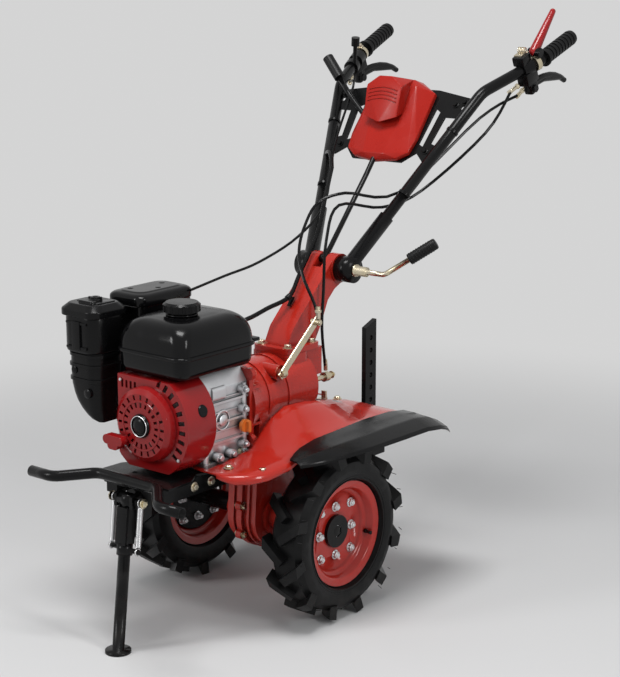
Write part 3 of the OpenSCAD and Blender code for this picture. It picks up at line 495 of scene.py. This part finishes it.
boss.turned(at(0, -370.3, CRANK_Z), FRONT, [(0, 25), (4, 24), (6, 22.5), (6, 20), (4, 19)], 56)
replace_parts(boss.done(30), "starter_disc")

# Tank, air cleaner and muffler: smooth shells in place of the plainer solids.
# Sides are (x0, x1, y0, y1); a shell is a stack of level rings with rounded corners.
CORNER_STEPS = 7
TANK_SIDES = (-100, 96, -348, -111)
DOME_STEPS = 18
CANISTER_SIDES = (-226, -124, -374, -276)
BOWL_INNER, BOWL_FRONT, BOWL_BACK, BOWL_CORNER = -126, -370, -280, 28
POT_SIDES = (-206, -106, -254, -96)
GUARD_SIDES = (-210, -104, -258, -92)


def rounded(sides, z, r, inset=0):
    x0, x1, y0, y1 = sides[0] + inset, sides[1] - inset, sides[2] + inset, sides[3] - inset
    r = min(r, (x1 - x0) / 2 - 0.5, (y1 - y0) / 2 - 0.5)
    corners = ((x1 - r, y1 - r, 0), (x0 + r, y1 - r, 90), (x0 + r, y0 + r, 180), (x1 - r, y0 + r, 270))
    ring = []
    for cx, cy, first in corners:
        for k in range(CORNER_STEPS + 1):
            a = math.radians(first + 90 * k / CORNER_STEPS)
            ring.append(at(cx + r * math.cos(a), cy + r * math.sin(a), z))
    return ring


# Height, inset and corner radius from the tank's floor past the seam, then the dome and its crown
tank_rows = [(560, 16, 22), (562, 11, 23), (567, 7.5, 25), (575, 5.5, 26), (601, 5, 26),
             (602, 0.8, 28), (603.5, 0, 28), (607.5, 0, 28), (609, 0.8, 28), (610, 4, 26)]
for i in range(1, DOME_STEPS + 1):
    t = i / DOME_STEPS
    a = math.radians(90 * t)
    tank_rows.append((610 + 63 * math.sin(a) ** 0.85, 4 + 42 * (1 - math.cos(a)) ** 1.15, 26 + 14 * t))
tank_rows += [(674, 52, 36), (674.6, 62, 30), (675, 74, 20)]
tank = Part("fuel_tank_look", "chassis", "black_gloss")
tank.solid([rounded(TANK_SIDES, z, r, inset) for z, inset, r in tank_rows])
tank.box(at(70, -108, 608), (28, 20, 8), bevel=3)
for x in (-50, 34):
    tank.box(at(x, -185, 559), (24, 70, 5), bevel=1)
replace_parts(tank.done(40), "fuel_tank")
neck = Part("tank_neck", "chassis", "black_gloss")
neck.ring(at(8, -253, 677), UP, 31, 2.5, 48, 8)
neck.done(60)

# Height, outer side and inset of the bowl, then height and outer side of its three beads
BOWL = ((592, -214, 0), (575, -217, 0), (545, -217, 0), (520, -215, 0), (500, -210, 1),
        (484, -203, 2), (468, -192, 4), (456, -178, 6), (448, -162, 9), (443, -146, 14))
BEADS = ((583, -216), (561, -217), (531, -216))
air = Part("air_cleaner_look", "chassis", "black_plastic")
air.solid([rounded(CANISTER_SIDES, z, 30, inset)
           for z, inset in ((588, 3), (590, 1), (594, 0), (660, 0), (663.6, 1))])
air.solid([rounded((x, BOWL_INNER, BOWL_FRONT + i, BOWL_BACK - i), z, BOWL_CORNER) for z, x, i in BOWL])
for z, x in BEADS:
    air.solid([rounded((x, BOWL_INNER, BOWL_FRONT, BOWL_BACK), h, BOWL_CORNER, -swell)
               for h, swell in ((z - 4, 0), (z - 3, 2.2), (z + 3, 2.2), (z + 4, 0))])
air.box(at(-176, -375, 626), (24, 7, 60), bevel=3)
air.box(at(-226, -325, 626), (7, 24, 60), bevel=3)
for z in (600, 652):
    air.box(at(-176, -375, z), (60, 4, 5), bevel=1.5)
air.turned(at(-148, -292, 540), BACK, [(0, 22), (35.7, 22)], 32)
air.turned(at(-150, -371, 505), FRONT, [(-3, 10), (3, 10), (5, 7)], 24)
air.turned(at(-190, -369, 550), FRONT, [(-3, 8), (3, 8), (4, 6)], 24)
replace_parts(air.done(40), "air_cleaner")
trim = Part("air_lid_trim", "chassis", "black_plastic")
trim.turned(at(-173, -322, 690), UP, [(0, 15), (4, 15), (6, 12), (8, 5), (11, 4.5)], 24)
trim.box(at(-173, -322, 697), (30, 5, 6), Matrix.Rotation(math.radians(25), 3, "Z"), 2)
trim.box(at(-196, -322, 690), (22, 40, 4), bevel=1.8)
trim.box(at(-150, -322, 690), (18, 52, 4), bevel=1.8)
trim.done()

# Height and inset of the guard over the muffler's pot
GUARD = ((672, 2), (674, 0.4), (676, 0), (688, 0), (691, 0.8), (694, 3), (696.5, 6.5), (698, 11),
         (698.6, 16), (699.2, 17), (700, 18), (700, 24))
pot = Part("muffler_look", "chassis", "black_gloss")
pot.solid([rounded(POT_SIDES, z, 18) for z in (578, 580, 686)])
pot.solid([rounded(GUARD_SIDES, z, 22, inset) for z, inset in GUARD])
pot.turned(at(-150, -175, 550.3), UP, [(0, 15), (30, 15)], 28)
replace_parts(pot.done(40), "muffler")
# Screw heads on the guard's top, made black so that they also paint the shade of the dark holes they sit in
guard_screws_hole_shade = Part("guard_screws_hole_shade", "chassis", "black_paint")
for x, y in ((-178, -215), (-140, -170), (-168, -130)):
    guard_screws_hole_shade.turned(at(x, y, 699.6), UP, [(0, 6), (1, 6), (1.4, 4.5)], 20)
guard_screws_hole_shade.done()

# Stand: close-wound springs with their eyes, and the channel at the top of the leg
LEG_RUN, LEG_DROP = 0.11865, 0.99293
LEG = Vector((0, -LEG_RUN, -LEG_DROP))
LEG_BACK = LEG.cross(X)
COIL_STEPS = 46 * 12
CHANNEL_DOWN = 52
coil = Part("spring_coils", "stand", "steel")
for x in (-37, 37):
    pin = Vector((x, STAND_Y, STAND_Z))
    wire = []
    for k in range(COIL_STEPS + 1):
        a = k * math.pi / 6
        wind = (X * math.cos(a) + LEG_BACK * math.sin(a)) * 5.4
        wire.append(at(*(pin + LEG * (9 + 83 * k / COIL_STEPS) + wind)))
    coil.tube(wire, 0.95, 6)
    coil.ring(at(*pin), X, 8, 1.5, 28, 8)
    coil.ring(at(*(pin + LEG * 102)), X, 7, 1.5, 28, 8)
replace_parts(coil.done(60), "stand_springs")
channel = Part("stand_channel", "stand", "black_paint")
leg_lean = Matrix.Rotation(math.radians(-6.8), 3, "X")
channel_y, channel_z = LEG_RUN * CHANNEL_DOWN, STAND_Z - LEG_DROP * CHANNEL_DOWN
for x in (-13, 13):
    channel.box(at(x, STAND_Y - channel_y, channel_z), (3, 26, 78), leg_lean, 1)
channel.box(at(0, STAND_Y - 13.5 - channel_y, channel_z), (29, 3, 78), leg_lean, 1)
channel.done()

# Rubber grip of the clamp handle
CLAMP_ARM = Vector((95, 55, 72))
GRIP_R = 12.8
rub = Part("bar_rubber", "chassis", "grip_rubber")
along = CLAMP_ARM.normalized()
start = PIVOT + Vector((158, 0, 0)) + CLAMP_ARM * 0.5
rub.turned(at(*start), along, [(0, 11), (0.5, GRIP_R), (66, GRIP_R), (69, 11.5), (70, 6)], 28)
for i in range(9):
    rub.ring(at(*(start + along * (5 + i * 6.4))), along, GRIP_R, 1.0, 28, 6)
rub.done(60)


# Handlebar: cable ties, perches, lever blades and the stop lever's spring
def mirrored(p, side):
    return Vector((side * p.x, p.y, p.z))


BAR_FOOT, BAR_BEND, BAR_TOP = (PIVOT + Vector(b) for b in ((52, 0, 0), (204, 301, 380), (258, 456, 446)))
BLADE_WIDTH = 0.8
BLADE = (((247, 660, 1086), 9), ((248, 676, 1096), 9), ((248.6, 696, 1104.5), 8.6),
         ((248.6, 721.5, 1109.5), 8), ((248.2, 748, 1111.5), 7.6), ((247.6, 774, 1109.5), 7.4),
         ((247, 797, 1104), 7.2), ((247, 808, 1099.5), 7.2), ((247, 813.5, 1096.5), 6.6),
         ((247, 817, 1094.8), 4))
slope = (BAR_BEND - BAR_FOOT).normalized()
reach = (BAR_TOP - BAR_BEND).normalized()
perch_at = BAR_TOP + reach * -14
ties = Part("cable_ties", "handlebar", "black_plastic")
metal = Part("perch_metal", "handlebar", "zinc")
for side in (1, -1):
    for t in (215, 395):
        ties.turned(at(*mirrored(BAR_FOOT + slope * t, side)), mirrored(slope, side),
                    [(-3, 13.4), (-3, 14.6), (3, 14.6), (3, 13.4)], 28)
    metal.turned(at(*mirrored(perch_at, side)), mirrored(reach, side),
                 [(-6, 13.6), (-6, 18.2), (6, 18.2), (6, 13.6)], 28)
    metal.bolt(at(*mirrored(perch_at + Vector((0, -3, 17)), side)), (0, -0.38, 0.92), 10, 6)
ties.done()
metal.done()
perch = Part("perch_body", "handlebar", "black_paint")
perch_lean = Matrix.Rotation(math.radians(23), 3, "X")
perch.box(at(246, 658, 1112), (30, 46, 30), perch_lean, 5)
perch.box(at(249, 668, 1092), (22, 30, 34), perch_lean, 5)
perch.box(at(240, 640, 1152), (30, 34, 22), perch_lean, 4)
perch.turned(at(234, 668, 1086), X, [(0, 9), (30, 9), (31, 8)], 24)
perch.turned(at(238, 676, 1166), X, [(0, 12), (30, 12), (32, 10)], 28)
perch.box(at(-246, 656, 1116), (28, 40, 26), perch_lean, 5)
perch.box(at(-249, 666, 1092), (20, 26, 34), perch_lean, 5)
perch.turned(at(-264, 668, 1086), X, [(0, 9), (30, 9), (31, 8)], 24)
perch.done()
blades = Part("lever_blades", "handlebar", "black_paint")
for side in (1, -1):
    rings = []
    for i, (q, r) in enumerate(BLADE):
        before, after = BLADE[max(i - 1, 0)][0], BLADE[min(i + 1, len(BLADE) - 1)][0]
        lift = (Vector(after) - Vector(before)).normalized().cross(X).normalized()
        rings.append([at(side * (q[0] + BLADE_WIDTH * r * math.cos(a)),
                         q[1] + lift.y * r * math.sin(a), q[2] + lift.z * r * math.sin(a))
                      for a in (k * math.pi / 8 for k in range(16))])
    blades.solid(rings)
blades.done(50)
spring = Part("stop_spring", "handlebar", "zinc")
spring.tube([at(226 + k * 0.35, 648 + 7 * math.cos(k * 0.55), 1172 + 7 * math.sin(k * 0.55))
             for k in range(58)], 1.3, 8)
spring.box(at(236, 640, 1165), (20, 26, 2.5), perch_lean, 1)
spring.done(60)

# Console: x, distance v from the pivot along the handlebar's plate and height w over the plate
PLATE_RUN, PLATE_RISE = 0.621, 0.784


def on_plate(x, v, w):
    return at(x, PIVOT.y + v * PLATE_RUN - w * PLATE_RISE, PIVOT.z + v * PLATE_RISE + w * PLATE_RUN)


def faceted(name, points, soft, shown=None):
    """Convex body over the points, with softened edges."""
    part = Part(name, "handlebar", "red_plastic")
    bm = part.bm
    made = bmesh.ops.convex_hull(bm, input=[bm.verts.new(on_plate(*q)) for q in points])
    spare = set(made["geom_interior"] + made["geom_unused"])
    bmesh.ops.delete(bm, geom=[v for v in spare if isinstance(v, bmesh.types.BMVert)], context="VERTS")
    bmesh.ops.dissolve_limit(bm, angle_limit=math.radians(3), verts=bm.verts[:], edges=bm.edges[:])
    bmesh.ops.bevel(bm, geom=bm.edges[:], offset=soft / MM, segments=3, affect="EDGES", profile=0.6,
                    clamp_overlap=True)
    obj = part.done(14)
    if shown:
        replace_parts(obj, shown)


CONSOLE_FOOT = ((-60, 286), (0, 277), (60, 286), (86, 304), (92, 342), (90, 466),
                (44, 492), (-44, 492), (-90, 466), (-92, 342), (-86, 304))
CONSOLE_FACE = [(-28, 290, 24), (28, 290, 24), (56, 462, 46), (-56, 462, 46), (40, 482, 40), (-40, 482, 40)]
HOOD = [(0, 354, 51), (46, 369, 54), (-46, 369, 54), (50, 433, 84), (-50, 433, 84), (18, 454, 93),
        (-18, 454, 93), (36, 482, 40), (-36, 482, 40), (44, 400, 28), (-44, 400, 28)]
console_rim = [(x, v, w) for x, v in CONSOLE_FOOT for w in (2.3, 13)]
faceted("console_look", console_rim + CONSOLE_FACE, 2.2, "console")
faceted("console_hood", HOOD, 2.5)
ridges = Part("console_lines", "handlebar", "red_plastic")
for top in (430, 422, 414, 406):
    ridge = []
    for k in range(-10, 11):
        v = top + 9 * math.cos(k * 0.13) - 9
        ridge.append(on_plate(4 * k, v, 51.4 + 0.42 * (v - 354)))
    ridges.tube(ridge, 1.3, 8)
ridges.done(60)

# Cable ends near the levers, panel bolts, end of the loom, forks at the arms, clip on the column
FERRULES = (
    ((243, 661, 1092), (232, 659, 1080), (222.6, 657.5, 1069.6)),
    ((240, 652, 1102), (229, 642, 1091), (218.6, 631.5, 1079.6)),
    ((-230, 612, 1104), (-226, 603, 1092), (-221.8, 594.7, 1081.9)),
)
LOOM_END = ((-80, 346, 907), (-92, 360, 925), (-108, 374, 938), (-126, 388, 936), (-140, 402, 930))
ends = Part("cable_ferrules", "handlebar", "zinc")
for path in FERRULES:
    points = [at(*p) for p in path]
    ends.tube(points, 4.6, 12)
    along = (points[2] - points[0]).normalized()
    ends.turned(points[1], along, [(-3, 6.4), (3, 6.4), (3.4, 6)], 6)
    ends.turned(points[2], along, [(-1, 5.2), (7, 5.2), (9, 4.2)], 12)
ends.done()
plate = Part("panel_bolts", "handlebar", "black_paint")
plate_normal = on_plate(0, 0, 1) - on_plate(0, 0, 0)
for x, v in ((150, 446), (-150, 446), (172, 454), (-172, 454), (122, 318), (-122, 318)):
    plate.bolt(on_plate(x, v, 2), plate_normal, 10, 5)
plate.done()
loom_end = Part("loom_end", "handlebar", "black_plastic")
loom_end.tube([at(*p) for p in LOOM_END], 5, 12)
loom_end.done(60)
forks = Part("arm_forks", "chassis", "zinc")
forks.tube([at(91.3, 86, 620), at(91, 86, 634), at(89.6, 87, 646)], 5, 12)
forks.turned(at(91, 86, 636), UP, [(-3, 7), (3, 7), (3.4, 6.4)], 6)
forks.tube([at(40, 176, 479), at(41, 174, 492), at(42, 171, 504)], 5, 12)
forks.bolt(at(40, 196, 464), BACK, 10, 7)
forks.done()
clips = Part("column_clips", "chassis", "black_plastic")
clips.turned(at(-8, 104, 651), (0.15, 0.85, 0.5), [(-5, 5.2), (-5, 6.8), (5, 6.8), (5, 5.2)], 24)
clips.box(at(-8, 112, 640), (9, 3, 24), Matrix.Rotation(math.radians(-42), 3, "X"), 0.8)
clips.done()

# Studio: a wide pale floor that fades into an equally pale air, so no side is blocked
PALE = 0.66
AIR_LIGHT = 0.3
FLOOR_R, FLOOR_SIDES = 45, 48
FADE_FROM, FADE_TO = 0.9, 2.4


def seen(tree):
    """1 for rays of the camera, also by gloss or glass, and 0 for those that carry light."""
    rays = tree.nodes.new("ShaderNodeLightPath").outputs
    direct = maths(tree, "MAXIMUM", rays["Is Camera Ray"], rays["Is Glossy Ray"])
    return maths(tree, "MAXIMUM", direct, rays["Is Transmission Ray"])


def pale_where(tree, factor, plain, pale_kind, end):
    """Even pale shader mixed over the plain one by the factor."""
    pale = tree.nodes.new(pale_kind)
    pale.inputs["Color"].default_value = (1, 1, 1, 1)
    pale.inputs["Strength"].default_value = PALE
    join = tree.nodes.new("ShaderNodeMixShader")
    tree.links.new(factor, join.inputs["Fac"])
    tree.links.new(tree.nodes[plain].outputs[0], join.inputs[1])
    tree.links.new(pale.outputs[0], join.inputs[2])
    tree.links.new(join.outputs[0], tree.nodes[end].inputs["Surface"])


floor_look = material("studio", (0.68, 0.68, 0.68), (0.65, 0.65, 0.655), 0.8, 60, 0.02,
                      tint_scale=1.2, shine=0.1)
floor_tree = floor_look.node_tree
spot = floor_tree.nodes.new("ShaderNodeTexCoord")
distance = floor_tree.nodes.new("ShaderNodeVectorMath")
distance.operation = "LENGTH"
floor_tree.links.new(spot.outputs["Object"], distance.inputs[0])
fade = floor_tree.nodes.new("ShaderNodeMapRange")
fade.interpolation_type = "SMOOTHSTEP"
fade.inputs["From Min"].default_value = FADE_FROM
fade.inputs["From Max"].default_value = FADE_TO
floor_tree.links.new(distance.outputs["Value"], fade.inputs["Value"])
amount = maths(floor_tree, "MULTIPLY", fade.outputs["Result"], seen(floor_tree))
pale_where(floor_tree, amount, "Principled BSDF", "ShaderNodeEmission", "Material Output")
bm = bmesh.new()
edge = [math.radians(360 / FLOOR_SIDES * k) for k in range(FLOOR_SIDES)]
bm.faces.new([bm.verts.new((FLOOR_R * math.cos(a), FLOOR_R * math.sin(a), 0)) for a in edge])
mesh = bpy.data.meshes.new("studio")
bm.to_mesh(mesh)
bm.free()
studio = bpy.data.objects.new("studio", mesh)
scene.collection.objects.link(studio)
mesh.materials.append(floor_look)


# Soft light from above, the front and the side, in metres and watts
def light(name, place, aim, size, power):
    data = bpy.data.lights.new(name, "AREA")
    data.shape = "RECTANGLE"
    data.size, data.size_y = size
    data.energy = power
    obj = bpy.data.objects.new(name, data)
    obj.location = place
    obj.rotation_euler = (Vector(aim) - Vector(place)).to_track_quat("-Z", "Y").to_euler()
    obj.visible_camera = False
    scene.collection.objects.link(obj)


light("top", (0.3, -0.8, 3.4), (0, 0, 0.4), (1.3, 0.9), 66)
light("front", (-1.6, -3.2, 2.0), (0, 0, 0.6), (0.7, 1.3), 34)
light("side", (3.2, -0.6, 1.9), (0, 0, 0.6), (0.5, 1.5), 30)
world = bpy.data.worlds.new("studio_air")
world.use_nodes = True
air_light = world.node_tree.nodes["Background"]
air_light.inputs["Color"].default_value = (0.97, 0.98, 1.0, 1)
air_light.inputs["Strength"].default_value = AIR_LIGHT
pale_where(world.node_tree, seen(world.node_tree), "Background", "ShaderNodeBackground", "World Output")
scene.world = world
scene.view_settings.view_transform = "Standard"

# Camera: solved from the photo
LENS, SENSOR = 90.92, 36
CAMERA_PLACE = at(2371.9, -2723.0, 1426.1)
CAMERA_AIM = at(0, 169.1, 546.7)
camera = bpy.data.cameras.new("camera")
camera.lens = LENS
camera.sensor_width = SENSOR
eye = bpy.data.objects.new("camera", camera)
eye.location = CAMERA_PLACE
eye.rotation_euler = (CAMERA_AIM - CAMERA_PLACE).to_track_quat("-Z", "Y").to_euler()
scene.collection.objects.link(eye)
scene.camera = eye
